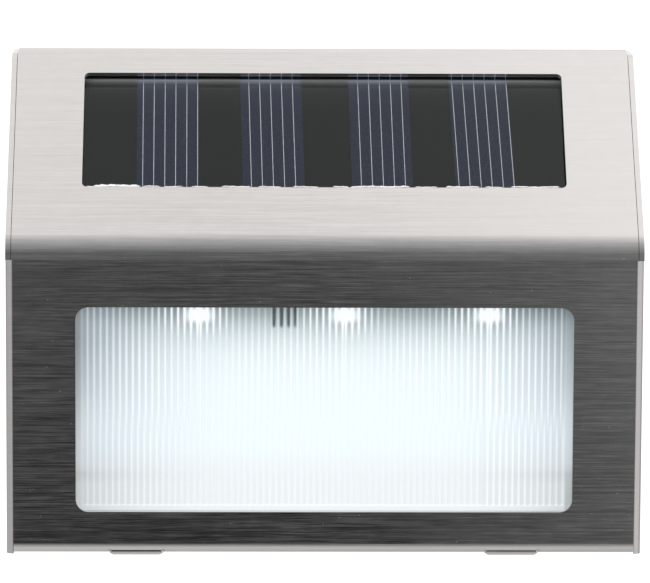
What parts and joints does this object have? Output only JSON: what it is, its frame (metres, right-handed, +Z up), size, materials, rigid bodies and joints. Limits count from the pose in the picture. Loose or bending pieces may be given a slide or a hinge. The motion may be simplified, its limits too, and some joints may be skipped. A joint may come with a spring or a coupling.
{
  "type": "solar fence light",
  "caption": "Solar fence light with a folded stainless steel cover, a sloping solar panel and a ribbed front lens; it hangs on a screwed wall plate.",
  "frame": {"origin": "middle of the wall plate's rear face, on the wall", "axes": "+X to the right of someone facing the light, +Y into the wall, +Z up; the upright face looks to -Y"},
  "size_m": [0.12, 0.045, 0.0936],
  "materials": {
    "steel": "satin",
    "solar_glass": "gloss",
    "solar_cells": "gloss",
    "solar_backboard": "matte",
    "lens": "gloss",
    "housing": "matte",
    "rear_panel": "matte",
    "door": "matte",
    "reflector": "satin",
    "led_board": "satin",
    "leds": "gloss",
    "driver": "matte",
    "choke": "matte",
    "battery": "satin",
    "contacts": "polished",
    "switch_body": "satin",
    "switch_knob": "satin",
    "screws": "satin",
    "wall_plate": "satin",
    "leads": "satin"
  },
  "bodies": {
    "mount_plate": {"wall_plate": "wall_plate"},
    "lamp": {"steel_cover": "steel", "solar_glass": "solar_glass", "solar_cells": "solar_cells", "solar_backboard": "solar_backboard", "ribbed_lens": "lens", "inner_housing": "housing", "rear_panel": "rear_panel", "reflector": "reflector", "led_board": "led_board", "leds": "leds", "driver_ic": "driver", "inductor": "choke", "battery": "battery", "positive_contact": "contacts", "negative_contact": "contacts", "switch_body": "switch_body", "panel_screws": "screws", "solar_leads": "leads", "battery_leads": "leads"},
    "knob": {"switch_knob": "switch_knob"},
    "door": {"battery_door": "door"}
  },
  "joints": [
    {"name": "lamp_lift", "type": "slide", "parent": "mount_plate", "child": "lamp", "axis": [0, 0, 1], "range_m": [0, 0.07]},
    {"name": "switch_slide", "type": "slide", "parent": "lamp", "child": "knob", "axis": [1, 0, 0], "range_m": [0, 0.002]},
    {"name": "door_slide", "type": "slide", "parent": "lamp", "child": "door", "axis": [0, 0, -1], "range_m": [0, 0.024]}
  ]
}
